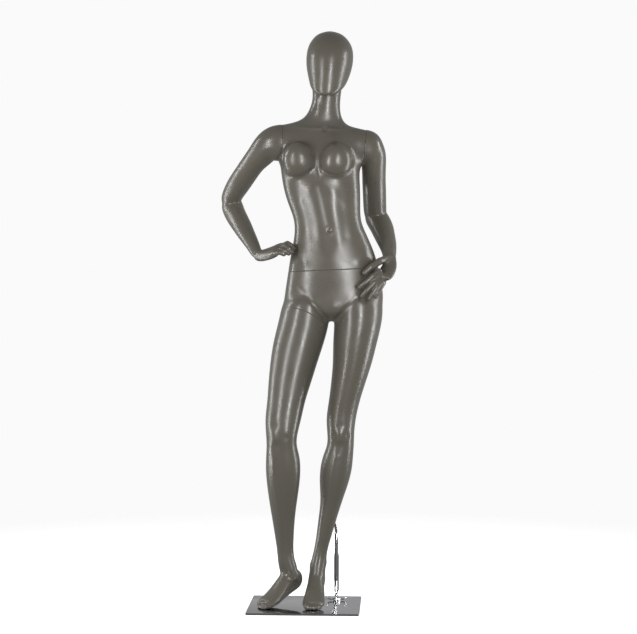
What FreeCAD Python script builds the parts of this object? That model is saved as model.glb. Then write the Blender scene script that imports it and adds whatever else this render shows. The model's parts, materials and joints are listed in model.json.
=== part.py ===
import FreeCAD, Part
import math
import os

# Full body female display mannequin on a polished base plate with a calf rod.
# Millimetres, +Z up, origin at the centre of the underside of the base.
# The figure faces -Y and its own left side is on +X.

os.makedirs("parts", exist_ok=True)
Vector = FreeCAD.Vector

# Overall sizes
stature = 1810.0            # crown of the head above the top of the base plate
drawn_stature = 1810.0      # the sculpture's stations below are written at this stature
base_width = 350.0
base_depth = 300.0
base_thickness = 5.0
base_corner = 4.0
pad_thickness = 1.5
pad_inset = 3.0
sole_gap = 0.4              # between the soles and the plate: the calf rod carries the figure

# Moulded shells
wall = 3.5                  # glass fibre wall
flange = 16.0               # solid moulding behind each joint face
seam_gap = 0.5              # between two joint faces

# Joint fittings
plate_thickness = 3.0       # every fitting plate
plate_fit = 0.15            # round a plate in its recess
stud_radius = 6.0
stud_head_radius = 10.0
stud_head_height = 3.5
stud_fit = 0.06             # radial, between a stud and its slot
head_fit = 0.6              # round a stud's head in its pocket
under_head_gap = 0.3        # between a stud's head and the back of the slotted plate
screw_radius = 2.0
screw_head_radius = 4.0
screw_length = 11.0
shoulder_plate_radius = 30.0
waist_plate_radius = 58.0
waist_stud_circle = 36.0    # radius of the circle of waist studs
waist_stud_count = 3
waist_unlock = 28.0         # degrees of slot from locked to the entry hole
thigh_plate_radius = 44.0
thigh_stud_spacing = 40.0
thigh_unlock = 18.0         # travel in the thigh slots from seated to the entry hole

# Neck and head
neck_radius = 46.0
neck_gap = 0.6              # round the neck inside the head
spigot_flange_radius = 28.0
spigot_radius = 10.0
spigot_height = 26.0
spigot_fit = 0.06
socket_radius = 17.0

# Calf rod
rod_x = 97.0                # foot of the rod on the base
rod_y = 77.0
rod_radius = 8.0
rod_bore_radius = 5.5
rod_bottom = 32.0           # lower end of the tube above the plate
rod_top = 214.0
pin_radius = 5.0
pin_seat = 40.0             # length of pin pressed into the tube
pin_bend_radius = 60.0
pin_lean = 15.0             # degrees that the upper pin leans towards the calf
pin_lean_turn = 37.0        # degrees from -X towards -Y in which it leans
pin_reach = 122.0           # straight length of the leaning part
socket_wall = 2.0
socket_fit = 0.06
socket_length = 74.0        # of the socket tube inside the calf
socket_end_gap = 3.0
calf_boss = 6.0             # moulding round the socket
beyond_calf = 60.0          # that the socket's blank runs on before it is cut flush with the calf

# Rod foot, wing nut and base stud
foot_ball_radius = 6.6
foot_ball_height = 16.0     # centre of the ball above the plate
foot_neck_radius = 4.2
thread_radius = 4.0
thread_fit = 0.06
thread_depth = 9.0          # of the stud in the rod foot
stud_cone_radius = 9.0
stud_cone_height = 4.0
washer_radius = 10.0
washer_thickness = 1.4
wing_nut_height = 6.5
wing_hub_radius = 7.0
wing_span = 61.0
wing_thickness = 2.4
wing_root = 5.0             # height of a wing at the hub
wing_tip_height = 10.0      # top of the wing tips above the washer

armhole_reach = 78.0        # half size of the block that cuts a shoulder's joint face
joint_fullness = 1.03       # of a finger joint over the finger beside it

grow = stature / drawn_stature
plate_top = pad_thickness + base_thickness
ground = plate_top + sole_gap

# Heights from a joint plane, on the joint's own axis
half_seam = seam_gap / 2
stud_face = -half_seam                                  # open side of a stud plate
slot_face = half_seam                                   # open side of a slotted plate
slot_back = slot_face + plate_thickness
pocket_top = slot_back + under_head_gap + stud_head_height + head_fit
socket_outer_radius = pin_radius + socket_fit + socket_wall


def place(x, y, z):
    """A point of the sculpture, given at the drawn stature above the soles."""
    return Vector(x * grow, y * grow, z * grow + ground)


# Joint faces of the figure: centre and the direction that the face looks
waist_centre = place(92, -6, 1057)
waist_up = Vector(-0.043, -0.040, 1.0).normalize()
thigh_centre = place(-6, 2, 901)
thigh_up = Vector(0.42, 0.33, 1.0).normalize()
right_shoulder = place(-79, 22, 1457)
right_out = Vector(-1.0, -0.20, 0.05).normalize()
left_shoulder = place(186, 22, 1443)
left_out = Vector(1.0, 0.09, -0.12).normalize()
neck_top = place(69, 12, 1634)
middle_x = 79.0             # between the legs, at the drawn stature
UP = Vector(0, 0, 1)


# ---------------------------------------------------------------- basic shapes

def export(shape, node):
    """Write one node; a node with several separate solids is a compound."""
    shape.exportStep("parts/" + node + ".step")
    print(node, len(shape.Solids), round(shape.Volume / 1000.0, 1), "cm3", shape.isValid())


def signed_power(value, power):
    return math.copysign(abs(value) ** power, value)


def ring(centre, across, ahead, half_across, half_ahead, roundness=2.0):
    """Closed smooth section: a superellipse in the plane of two unit directions."""
    points = []
    for step in range(16):
        angle = 2 * math.pi * step / 16
        u = half_across * signed_power(math.cos(angle), 2 / roundness)
        v = half_ahead * signed_power(math.sin(angle), 2 / roundness)
        points.append(centre + across * u + ahead * v)
    curve = Part.BSplineCurve()
    curve.interpolate(Points=points, PeriodicFlag=True)
    return Part.Wire([curve.toShape()])


def loft(rings):
    return Part.makeLoft(rings, True, False)


def level_loft(stations, inset=0.0, low=None, high=None, roundness=2.0):
    """Body part made of level sections (z, x, half width, y, half depth, turn).

    inset shrinks the sections for a shell's inside, and low and high cut its ends off.
    """
    rings = []
    for z, x, half_width, y, half_depth, turn in stations:
        angle = math.radians(turn)
        across = Vector(math.cos(angle), math.sin(angle), 0)
        ahead = Vector(-math.sin(angle), math.cos(angle), 0)
        wide = max(half_width * grow - inset, 1.0)
        deep = max(half_depth * grow - inset, 1.0)
        rings.append(ring(place(x, y, z), across, ahead, wide, deep, roundness))
    body = loft(rings)
    if low is not None:
        body = above(body, place(0, 0, low), UP)
    if high is not None:
        body = below(body, place(0, 0, high), UP)
    return body


def limb(stations, side, inset=0.0):
    """Body part made of sections square to its own path.

    stations are (point, half across, half along side), and side is about the second direction.
    """
    points = [station[0] for station in stations]
    rings = []
    for index, (point, half_across, half_side) in enumerate(stations):
        before = points[max(index - 1, 0)]
        after = points[min(index + 1, len(points) - 1)]
        along = (after - before).normalize()
        ahead = (side - along * side.dot(along)).normalize()
        across = ahead.cross(along)
        wide = max(half_across * grow - inset, 0.8)
        deep = max(half_side * grow - inset, 0.8)
        rings.append(ring(point, across, ahead, wide, deep))
    return loft(rings)


def ellipsoid(centre, half_x, half_y, half_z):
    ball = Part.makeSphere(1.0)
    stretch = FreeCAD.Matrix()
    stretch.scale(half_x * grow, half_y * grow, half_z * grow)
    ball = ball.transformGeometry(stretch)
    ball.translate(centre)
    return ball


def finger(points, root_radius, tip_radius):
    """Tapered finger or toe: cones from joint to joint with a slightly fuller ball at each joint."""
    count = len(points)
    radii = [(root_radius + (tip_radius - root_radius) * index / (count - 1)) * grow for index in range(count)]
    solids = []
    for index, point in enumerate(points):
        solids.append(Part.makeSphere(radii[index] * joint_fullness, point))
    for index in range(count - 1):
        along = points[index + 1] - points[index]
        solids.append(Part.makeCone(radii[index], radii[index + 1], along.Length, points[index], along))
    return fuse_all(solids)


def half_space(point, normal):
    """A large block on the side of the plane that normal points to."""
    size = 3000.0
    block = Part.makeBox(size, size, size, Vector(-size / 2, -size / 2, 0))
    turn = FreeCAD.Rotation(UP, normal)
    block.Placement = FreeCAD.Placement(point, turn)
    return block


def above(shape, point, normal):
    return shape.common(half_space(point, normal))


def below(shape, point, normal):
    return shape.common(half_space(point, normal * -1))


def joint_block(centre, direction, reach, depth):
    """Block that starts at a joint face and covers no more than the joint's own surroundings."""
    block = Part.makeBox(2 * reach, 2 * reach, depth, Vector(-reach, -reach, 0))
    block.Placement = FreeCAD.Placement(centre, FreeCAD.Rotation(UP, direction))
    return block


def fuse_all(shapes):
    return shapes[0].multiFuse(shapes[1:])


def disc(radius, low, high, x=0.0, y=0.0):
    return Part.makeCylinder(radius, high - low, Vector(x, y, low))


def hollow(outer, core):
    """Shell: the outside without its core, which stays wholly inside."""
    return outer.cut(core)


# ------------------------------------------------------------ the figure's form

# Level sections: height, x, half width, y, half depth, turn in degrees
trunk_stations = [
    (893, 86, 30, 8, 26, 0),
    (906, 86, 74, 8, 62, 0),
    (926, 89, 122, 10, 86, 0),
    (954, 91, 155, 12, 94, 0),
    (992, 91.5, 155, 11, 94, 0),
    (1024, 92, 150.5, 6, 92, 0),
    (1062, 91, 143, -2, 86, 0),
    (1100, 89, 135, -8, 79, 0),
    (1134, 86, 125, -10, 73, 0),
    (1169, 81, 114.5, -12, 69, 0),
    (1206, 73, 107, -12, 67, 0),
    (1245, 65, 112, -10, 70, 0),
    (1290, 57, 120, -6, 76, -2),
    (1335, 51, 124, 0, 80, -3),
    (1380, 48, 127, 6, 82, -3),
    (1420, 51, 131, 11, 78, -3),
    (1455, 54, 126, 15, 70, -3),
    (1486, 54, 106, 18, 56, -3),
    (1506, 54, 82, 20, 44, -3),
]
neck_stations = [
    (1492, 50, 92, 24, 50, 0),
    (1510, 50, 86, 24, 50, 0),
    (1528, 52, 70, 23, 48, 0),
    (1548, 59, 55, 20, 47, 0),
    (1568, 63, 49.5, 17, 46.5, 0),
    (1588, 67, 46.5, 14, 46, 0),
    (1610, 69, neck_radius, 12, neck_radius, 0),
    (1630, 69, neck_radius, 12, neck_radius, 0),
    (1650, 69, neck_radius, 12, neck_radius, 0),
]
head_stations = [
    (1594, 69, 8, -74, 8, 0),
    (1599, 70, 26, -66, 20, 0),
    (1611, 71, 42, -52, 36, 0),
    (1626, 72.5, 52, -33, 54, 0),
    (1643, 74, 58.5, -13, 76, 0),
    (1661, 75.5, 64, -4, 88, 0),
    (1680, 76.5, 69, 2, 95, 0),
    (1699, 77.5, 72.5, 6, 98.5, 0),
    (1718, 78.3, 74, 8, 99, 0),
    (1737, 79, 73.3, 10, 96.5, 0),
    (1756, 79.2, 69.6, 12, 90, 0),
    (1775, 79, 60.5, 14, 77, 0),
    (1791, 78.5, 47.5, 16, 59, 0),
    (1803, 78, 28, 18, 34, 0),
    (1809, 78, 9, 18, 11, 0),
]
left_leg_stations = [
    (960, 168, 78, 12, 94, 0),
    (920, 168, 77, 10, 93, 0),
    (880, 166, 74, 8, 90, 0),
    (830, 159, 69.5, 6, 84, 0),
    (765, 150, 62, 5, 75, 0),
    (700, 137, 54.5, 6, 67, 0),
    (640, 124, 49, 9, 60, 0),
    (580, 114, 46, 12, 56, 0),
    (535, 113, 42.5, 13, 54, 0),
    (505, 112, 42.5, 15, 51, 0),
    (470, 105, 47, 20, 53, 0),
    (425, 97.5, 50, 28, 57, 0),
    (380, 91, 45.5, 33, 55, 0),
    (325, 82.5, 35.5, 36, 45, 0),
    (265, 70, 29, 38, 35, 0),
    (205, 57, 24, 42, 29, 0),
    (155, 46, 22.3, 45, 27.5, 0),
    (126, 41, 24, 45, 31, 0),
    (98, 37.5, 24.5, 44, 38, 0),
    (72, 36, 23, 42, 40, 0),
]
right_leg_stations = [
    (962, 12, 76, 6, 92, 4),
    (925, 2, 78, 3, 91, 6),
    (880, -6, 80, -2, 89, 8),
    (830, -18, 79.5, -8, 85, 11),
    (766, -33, 74, -16, 79, 15),
    (700, -46, 66.5, -26, 71, 18),
    (640, -57, 59, -36, 65, 21),
    (580, -66, 54, -46, 61.5, 24),
    (540, -69.5, 47.5, -51, 58, 27),
    (512, -70, 45.5, -49, 55, 29),
    (475, -67.5, 50, -40, 57.5, 31),
    (425, -66.8, 51.5, -27, 62, 33),
    (375, -67.3, 47.5, -18, 58, 34),
    (315, -68, 39, -8, 50, 35),
    (262, -67.2, 32, 0, 42, 36),
    (209, -65, 27, 7, 35, 37),
    (160, -62, 24, 13, 31, 38),
    (128, -58, 24, 16, 34, 38),
    (100, -51, 24, 22, 40, 38),
    (76, -46, 23, 27, 41, 38),
]

# A raised foot along its own length: distance behind the ankle's centre, height, half width, half height
foot_stations = [
    (46.5, 74, 9, 11),
    (41, 73, 18, 22),
    (28, 73, 24, 32),
    (8, 74, 26, 40),
    (-16, 66, 26, 41),
    (-40, 52, 27.5, 35),
    (-64, 36, 31, 27.5),
    (-88, 23, 34, 20.5),
    (-106, 16.5, 35, 15.7),
    (-120, 13.2, 32.5, 12.2),
]
# Toes from the big one: sideways offset of the root, of the tip, distance of the tip, radius
toes = [
    (22, 18, -146, 9.4),
    (7, 6.5, -145, 6.6),
    (-5, -4.5, -141, 6.2),
    (-16, -14, -135, 5.9),
    (-25.5, -22, -127, 5.9),
]
toe_root = -108.0


def foot(centre_x, centre_y, turn, big_toe_side):
    """Foot on its toes with the heel raised, about its ankle's centre.

    turn swings the toes from -Y towards -X in degrees; big_toe_side is +1 for a big toe on +X.
    """
    rings = []
    for behind, height, half_width, half_height in foot_stations:
        centre = Vector(0, behind * grow, height * grow)
        side = Vector(big_toe_side, 0, 0)
        rings.append(ring(centre, side, UP, half_width * grow, half_height * grow, 2.15))
    solids = [loft(rings)]
    for root_side, tip_side, tip, radius in toes:
        height = radius + 0.6
        root = Vector(root_side * big_toe_side * grow, toe_root * grow, (height + 4) * grow)
        middle = Vector(0.5 * (root_side + tip_side) * big_toe_side * grow,
                        (0.45 * toe_root + 0.55 * tip) * grow, (height + 2.0) * grow)
        end = Vector(tip_side * big_toe_side * grow, (tip + radius) * grow, height * grow)
        solids.append(finger([root, middle, end], radius * 1.05, radius))
    whole = fuse_all(solids)
    whole = above(whole, Vector(0, 0, 0), UP)
    whole.rotate(Vector(0, 0, 0), UP, -turn)
    whole.translate(Vector(centre_x * grow, centre_y * grow, ground))
    return whole


def trunk():
    """Pelvis, belly, ribs and shoulders as one closed form with breasts and seat."""
    body = level_loft(trunk_stations, roundness=2.15)
    yoke = limb([
        (right_shoulder + right_out * 8, 60, 57),
        (right_shoulder + right_out * -36, 67, 63),
        (place(18, 22, 1465), 67, 66),
        (place(88, 22, 1460), 63, 66),
        (left_shoulder + left_out * -40, 60, 63),
        (left_shoulder + left_out * 8, 55, 57),
    ], Vector(0, 1, 0))
    neck = level_loft(neck_stations)
    right_breast = ellipsoid(place(-14, -62, 1394), 56, 50, 52)
    left_breast = ellipsoid(place(99, -64, 1391), 56, 50, 52)
    right_seat = ellipsoid(place(14, 56, 958), 72, 60, 70)
    left_seat = ellipsoid(place(160, 58, 960), 72, 60, 72)
    return fuse_all([body, yoke, neck, right_breast, left_breast, right_seat, left_seat])


def trunk_core():
    return level_loft(trunk_stations, wall, None, 1470, roundness=2.15)


def arm_form(upper, fore, hand_shapes, shoulder, outward):
    """Shoulder cap and upper arm cut off at the joint face, the forearm and the hand's pieces."""
    cap = ellipsoid(shoulder + outward * cap_offset, *cap_size)
    upper_limb = limb(upper, upper_arm_side).fuse(cap)
    upper_limb = upper_limb.cut(joint_block(shoulder + outward * half_seam, outward * -1, armhole_reach, 80))
    return fuse_all([upper_limb, limb(fore, forearm_side)] + hand_shapes)


cap_offset = 9.0
cap_size = (53, 55, 57)     # half sizes of the round shoulder cap
upper_arm_side = Vector(0.1, 1.0, 0.15)
forearm_side = Vector(0.3, -0.2, 1.0)
right_upper = [
    (right_shoulder + right_out * -14, 60, 56),
    (right_shoulder + right_out * 12, 57, 55),
    (place(-122, 30, 1446), 48, 51),
    (place(-146, 46, 1421), 42.5, 45),
    (place(-167, 64, 1400), 38.5, 41),
    (place(-187, 85, 1376), 37, 39),
    (place(-208, 108, 1350), 37, 38.5),
    (place(-228, 133, 1325), 36, 37),
    (place(-245, 158, 1300), 33.5, 35),
    (place(-253, 175, 1281), 30, 31),
    (place(-257, 185, 1267), 20, 21),
    (place(-259, 190, 1259), 7, 8),
]
right_fore = [
    (place(-256, 190, 1296), 7, 8),
    (place(-254, 185, 1288), 21, 22),
    (place(-250, 177, 1273), 32, 33),
    (place(-241, 163, 1250), 34, 35.5),
    (place(-226, 138, 1223), 32.5, 34),
    (place(-209, 110, 1197), 31, 31),
    (place(-192, 82, 1170), 28, 27),
    (place(-175, 55, 1144), 24, 23),
    (place(-161, 34, 1120), 20.5, 19),
    (place(-151, 20, 1105), 19, 17),
]
left_upper = [
    (place(203, 24, 1470), 16, 18),
    (place(205, 25, 1460), 32, 36),
    (place(210, 29, 1435), 43, 48),
    (place(216, 40, 1395), 40, 45),
    (place(217, 62, 1348), 37.5, 41),
    (place(218, 88, 1306), 37.5, 40),
    (place(219, 116, 1264), 37, 38),
    (place(221, 140, 1232), 34, 36),
    (place(223, 152, 1214), 25, 27),
    (place(224, 158, 1205), 8, 9),
]
left_fore = [
    (place(215, 178, 1244), 8, 9),
    (place(216, 170, 1240), 25, 26),
    (place(221, 150, 1230), 35, 35),
    (place(238, 114, 1199), 39, 35),
    (place(248, 84, 1173), 36, 32),
    (place(257, 54, 1146), 31, 28),
    (place(264, 20, 1119), 25, 23),
    (place(266, -8, 1096), 21, 18),
    (place(265, -24, 1084), 21, 16),
]


def right_hand():
    """Hand set on the waist with the fingers forward and the thumb behind."""
    palm = limb([
        (place(-150, 24, 1102), 19, 17),
        (place(-138, 9, 1100), 21, 16),
        (place(-119, -9, 1104), 27, 15.5),
        (place(-99, -26, 1110), 32, 14.5),
        (place(-82, -40, 1117), 34, 12.5),
        (place(-74, -46, 1120), 30, 9),
    ], Vector(-0.55, -0.37, 0.74))
    index = finger([place(-62, -30, 1133), place(-51, -56, 1137), place(-40, -66, 1131),
                    place(-32, -62, 1121)], 9.0, 7.4)
    middle = finger([place(-70, -40, 1125), place(-58, -66, 1129), place(-45, -75, 1120),
                     place(-36, -70, 1109)], 9.2, 7.4)
    ring_finger = finger([place(-79, -50, 1114), place(-68, -72, 1117), place(-56, -80, 1112),
                          place(-46, -76, 1105)], 8.8, 7.2)
    little = finger([place(-88, -57, 1105), place(-79, -75, 1108), place(-69, -81, 1106),
                     place(-61, -79, 1102)], 8.2, 6.6)
    thumb = finger([place(-128, 12, 1106), place(-100, 8, 1114), place(-77, 1, 1120),
                    place(-59, -5, 1122)], 12.5, 8.6)
    return [palm, index, middle, ring_finger, little, thumb]


def left_hand():
    """Hand lying on the front of the hip with spread fingers."""
    palm = limb([
        (place(270, -14, 1092), 20, 16),
        (place(269, -32, 1078), 22, 15.5),
        (place(264, -50, 1061), 29, 15.5),
        (place(256, -68, 1044), 34, 14),
        (place(247, -83, 1031), 36, 12),
        (place(241, -91, 1025), 32, 8),
    ], Vector(-0.55, -0.75, 0.35))
    index = finger([place(236, -94, 1050), place(215, -107, 1033), place(192, -110, 1013),
                    place(175, -106, 999)], 8.8, 7.2)
    middle = finger([place(240, -94, 1035), place(219, -108, 1013), place(198, -110, 990),
                     place(183, -107, 973)], 9.0, 7.4)
    ring_finger = finger([place(244, -90, 1022), place(229, -104, 1001), place(215, -108, 979),
                          place(206, -106, 964)], 8.6, 7.2)
    little = finger([place(250, -83, 1014), place(240, -96, 997), place(231, -101, 982),
                     place(225, -100, 970)], 7.8, 6.5)
    thumb = finger([place(260, -44, 1090), place(236, -72, 1080), place(210, -94, 1062),
                    place(191, -101, 1045)], 13.0, 8.8)
    return [palm, index, middle, ring_finger, little, thumb]


# ------------------------------------------------------------------- fittings

def local_frame(centre, up, towards):
    """Placement with +Z along up and +X about along towards."""
    z = Vector(up).normalize()
    x = (towards - z * towards.dot(z)).normalize()
    y = z.cross(x)
    matrix = FreeCAD.Matrix(x.x, y.x, z.x, centre.x,
                            x.y, y.y, z.y, centre.y,
                            x.z, y.z, z.z, centre.z,
                            0, 0, 0, 1)
    return FreeCAD.Placement(matrix)


def put(shape, frame):
    moved = shape.copy()
    moved.Placement = frame.multiply(moved.Placement)
    return moved


def screws(circle, angles, face, direction):
    """Countersunk screws on a circle; face is the plate's open side, direction +1 or -1 inwards."""
    solids = []
    for angle in angles:
        x = circle * math.cos(math.radians(angle))
        y = circle * math.sin(math.radians(angle))
        head = Part.makeCone(screw_head_radius, screw_radius, screw_head_radius - screw_radius,
                             Vector(x, y, face), Vector(0, 0, direction))
        shank = Part.makeCylinder(screw_radius, screw_length, Vector(x, y, face), Vector(0, 0, direction))
        solids.append(head.fuse(shank))
    return Part.Compound(solids)


def stud(x, y, face):
    """Headed stud that stands up from a plate face at the seam and hooks behind the slotted plate."""
    under_head = seam_gap + plate_thickness + under_head_gap
    shank = disc(stud_radius, face, face + under_head, x, y)
    head = disc(stud_head_radius, face + under_head, face + under_head + stud_head_height, x, y)
    return shank.fuse(head)


def straight_slot(x, y, travel, direction, low, high):
    """Slot for a stud from its seat at x, y, with the entry hole at the end of the travel."""
    end_x = x + travel * direction
    width = stud_radius + stud_fit
    seat = disc(width, low, high, x, y)
    run = Part.makeBox(travel, 2 * width, high - low, Vector(min(x, end_x), y - width, low))
    entry = disc(stud_head_radius + head_fit, low, high, end_x, y)
    return fuse_all([seat, run, entry])


def straight_pocket(x, y, travel, direction, low, high):
    """Room for the stud's head along the same travel."""
    end_x = x + travel * direction
    width = stud_head_radius + head_fit
    run = Part.makeBox(travel, 2 * width, high - low, Vector(min(x, end_x), y - width, low))
    return fuse_all([disc(width, low, high, x, y), run, disc(width, low, high, end_x, y)])




def stud_plate(radius, places, screw_angles, screw_circle):
    """Plate let into the lower joint face, with its studs, in local coordinates."""
    plate = disc(radius, stud_face - plate_thickness, stud_face)
    for x, y in places:
        plate = plate.fuse(stud(x, y, stud_face))
    fixing = screws(screw_circle, screw_angles, stud_face, -1)
    recess = disc(radius + plate_fit, stud_face - plate_thickness, stud_face + 5)
    return plate.cut(fixing), fixing, recess


def slotted_plate(radius, slots, pockets, screw_angles, screw_circle):
    """Plate let into the upper joint face, with its slots and the pockets behind them."""
    plate = disc(radius, slot_face, slot_back)
    for slot in slots:
        plate = plate.cut(slot)
    fixing = screws(screw_circle, screw_angles, slot_face, 1)
    recess = disc(radius + plate_fit, slot_face - 5, slot_back)
    return plate.cut(fixing), fixing, fuse_all([recess] + pockets)


def shoulder_fitting(centre, outward):
    """Slotted plate in the shoulder and a plate with one stud in the arm.

    The local +Z looks into the torso and +X up: the stud enters at the top and drops to its seat.
    """
    frame = local_frame(centre, outward * -1, Vector(0, 0, 1))
    travel = stud_radius + stud_head_radius
    slots = [straight_slot(0, 0, travel, 1, slot_face - 1, slot_back + 1)]
    pockets = [straight_pocket(0, 0, travel, 1, slot_face, pocket_top)]
    circle = shoulder_plate_radius - screw_head_radius - 2
    angles = [100, 180, 260]
    return frame, stud_plate(shoulder_plate_radius, [(0, 0)], angles, circle), \
        slotted_plate(shoulder_plate_radius, slots, pockets, angles, circle)


def arc_solid(circle, half_width, sweep, low, high):
    """Bent slot about the local axis from angle 0 to sweep degrees."""
    outer = Part.makeCylinder(circle + half_width, high - low, Vector(0, 0, low), UP, sweep)
    inner = disc(circle - half_width, low - 1, high + 1)
    return outer.cut(inner)


def waist_fitting():
    """Stud plate on the hips and a plate with bent slots in the torso, locked by a turn."""
    frame = local_frame(waist_centre, waist_up, Vector(1, 0, 0))
    places = []
    slots = []
    pockets = []
    width = stud_radius + stud_fit
    head = stud_head_radius + head_fit
    for index in range(waist_stud_count):
        angle = 360.0 / waist_stud_count * index
        x = waist_stud_circle * math.cos(math.radians(angle))
        y = waist_stud_circle * math.sin(math.radians(angle))
        places.append((x, y))
        entry_angle = math.radians(angle + waist_unlock)
        entry_x = waist_stud_circle * math.cos(entry_angle)
        entry_y = waist_stud_circle * math.sin(entry_angle)
        run = arc_solid(waist_stud_circle, width, waist_unlock, slot_face - 1, slot_back + 1)
        run.rotate(Vector(0, 0, 0), UP, angle)
        seat = disc(width, slot_face - 1, slot_back + 1, x, y)
        entry = disc(head, slot_face - 1, slot_back + 1, entry_x, entry_y)
        slots.append(fuse_all([run, seat, entry]))
    pockets.append(disc(waist_stud_circle + head, slot_back - 0.01, pocket_top))
    circle = waist_plate_radius - screw_head_radius - 1.5
    angles = [60 + 90 * step for step in range(4)]
    return frame, stud_plate(waist_plate_radius, places, angles, circle), \
        slotted_plate(waist_plate_radius, slots, pockets, angles, circle)


def thigh_fitting():
    """Stud plate on the leg and a slotted plate in the hip; the leg slides forward to come off."""
    frame = local_frame(thigh_centre, thigh_up, Vector(0, -1, 0))
    half = thigh_stud_spacing / 2
    places = [(-half, 0), (half, 0)]
    slots = []
    pockets = []
    for x, y in places:
        slots.append(straight_slot(x, y, thigh_unlock, 1, slot_face - 1, slot_back + 1))
        pockets.append(straight_pocket(x, y, thigh_unlock, 1, slot_face, pocket_top))
    circle = thigh_plate_radius - screw_head_radius - 2
    angles = [60, 120, 240, 300]
    return frame, stud_plate(thigh_plate_radius, places, angles, circle), \
        slotted_plate(thigh_plate_radius, slots, pockets, angles, circle)


# ------------------------------------------------------- calf rod and its pin

lean_side = Vector(-math.cos(math.radians(pin_lean_turn)), -math.sin(math.radians(pin_lean_turn)), 0)
lean = math.radians(pin_lean)
pin_axis = lean_side * math.sin(lean) + UP * math.cos(lean)
rod_foot_point = Vector(rod_x, rod_y, plate_top)


def pin_path():
    """Centre points of the pin: foot, start and end of the bend, and the tip."""
    foot_point = rod_foot_point + UP * (rod_top - pin_seat)
    bend_start = rod_foot_point + UP * (rod_top + 4)
    bend_centre = bend_start + lean_side * pin_bend_radius
    bend_end = bend_centre - lean_side * (pin_bend_radius * math.cos(lean)) \
        + UP * (pin_bend_radius * math.sin(lean))
    return foot_point, bend_start, bend_centre, bend_end, bend_end + pin_axis * pin_reach


def rod_pin():
    foot_point, bend_start, bend_centre, bend_end, tip = pin_path()
    middle = bend_centre - lean_side * (pin_bend_radius * math.cos(lean / 2)) \
        + UP * (pin_bend_radius * math.sin(lean / 2))
    path = Part.Wire([
        Part.makeLine(foot_point, bend_start),
        Part.Arc(bend_start, middle, bend_end).toShape(),
        Part.makeLine(bend_end, tip),
    ])
    section = Part.Wire([Part.makeCircle(pin_radius, foot_point, UP)])
    solid = path.makePipeShell([section], True, False)
    return solid


def socket_bore_top():
    return pin_path()[4] + pin_axis * socket_end_gap


def calf_socket_blank():
    """Outside of the socket tube before it is trimmed flush with the calf."""
    top = socket_bore_top() + pin_axis * socket_wall
    return Part.makeCylinder(socket_outer_radius, socket_length + beyond_calf, top, pin_axis * -1)


def calf_bore():
    length = socket_length + 2 * beyond_calf
    return Part.makeCylinder(pin_radius + socket_fit, length, socket_bore_top(), pin_axis * -1)


# --------------------------------------------------------------- make the figure

def build_figure():
    whole_trunk = trunk()
    left_leg = level_loft(left_leg_stations)
    right_leg = level_loft(right_leg_stations)
    left_foot = foot(36, 42, 3, -1)
    right_foot = foot(-49, 27, 38, 1)

    lower_trunk = below(whole_trunk, waist_centre - waist_up * half_seam, waist_up)
    upper_trunk = above(whole_trunk, waist_centre + waist_up * half_seam, waist_up)

    # The right side below the inclined thigh face is the separate leg
    right_side = half_space(place(middle_x, 0, 0), Vector(-1, 0, 0))
    left_side = half_space(place(middle_x, 0, 0), Vector(1, 0, 0))
    right_mass = lower_trunk.common(right_side).fuse(right_leg)
    leg_solid = below(right_mass, thigh_centre - thigh_up * half_seam, thigh_up)
    leg_solid = leg_solid.fuse(right_foot)
    hip = above(right_mass, thigh_centre + thigh_up * half_seam, thigh_up)
    pelvis = fuse_all([hip, lower_trunk.common(left_side), left_leg, left_foot])
    return pelvis, leg_solid, upper_trunk


def build_pelvis(outer):
    """Hips and left leg: three hollows, with solid moulding left round the calf socket."""
    core = level_loft(trunk_stations, wall, 912, None, roundness=2.15)
    core = below(core, waist_centre - waist_up * (half_seam + flange), waist_up)
    core = above(core, thigh_centre + thigh_up * (half_seam + flange), thigh_up)
    leg_core = level_loft(left_leg_stations, wall, 150, 900)
    top = socket_bore_top() + pin_axis * (socket_wall + calf_boss)
    boss = Part.makeCylinder(socket_outer_radius + calf_boss, socket_length + 2 * beyond_calf, top,
                             pin_axis * -1)
    leg_core = leg_core.cut(boss)
    return hollow(hollow(outer, core), leg_core)


def build_right_leg(outer):
    core = level_loft(right_leg_stations, wall, 160, None)
    core = below(core, thigh_centre - thigh_up * (half_seam + flange), thigh_up)
    return hollow(outer, core)


def build_torso(upper_trunk):
    solid = below(upper_trunk, neck_top, UP)
    for shoulder, outward in ((right_shoulder, right_out), (left_shoulder, left_out)):
        solid = solid.cut(joint_block(shoulder - outward * half_seam, outward, armhole_reach, 200))
    core = above(trunk_core(), waist_centre + waist_up * (half_seam + flange), waist_up)
    for shoulder, outward in ((right_shoulder, right_out), (left_shoulder, left_out)):
        inner_face = shoulder - outward * (half_seam + flange)
        core = core.cut(joint_block(inner_face, outward, armhole_reach + flange, 200))
    return hollow(solid, core)


def build_arm(upper, fore, hand_shapes, shoulder, outward):
    solid = arm_form(upper, fore, hand_shapes, shoulder, outward)
    core = limb(upper[1:-2], upper_arm_side, wall)
    core = above(core, shoulder + outward * (half_seam + flange), outward)
    fore_core = limb(fore[2:-2], forearm_side, wall)
    return hollow(hollow(solid, core), fore_core)


def build_head():
    solid = level_loft(head_stations)
    relief = Part.makeCylinder(neck_radius * grow + neck_gap, 200, neck_top + UP * (seam_gap - 200))
    solid = solid.cut(relief)
    core = level_loft(head_stations, wall + 0.5, 1650, None)
    boss = Part.makeCylinder(socket_radius + 6, spigot_height + 14, neck_top)
    core = core.cut(boss)
    core = below(core, place(0, 0, 1802), UP)
    return hollow(solid, core)


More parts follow.
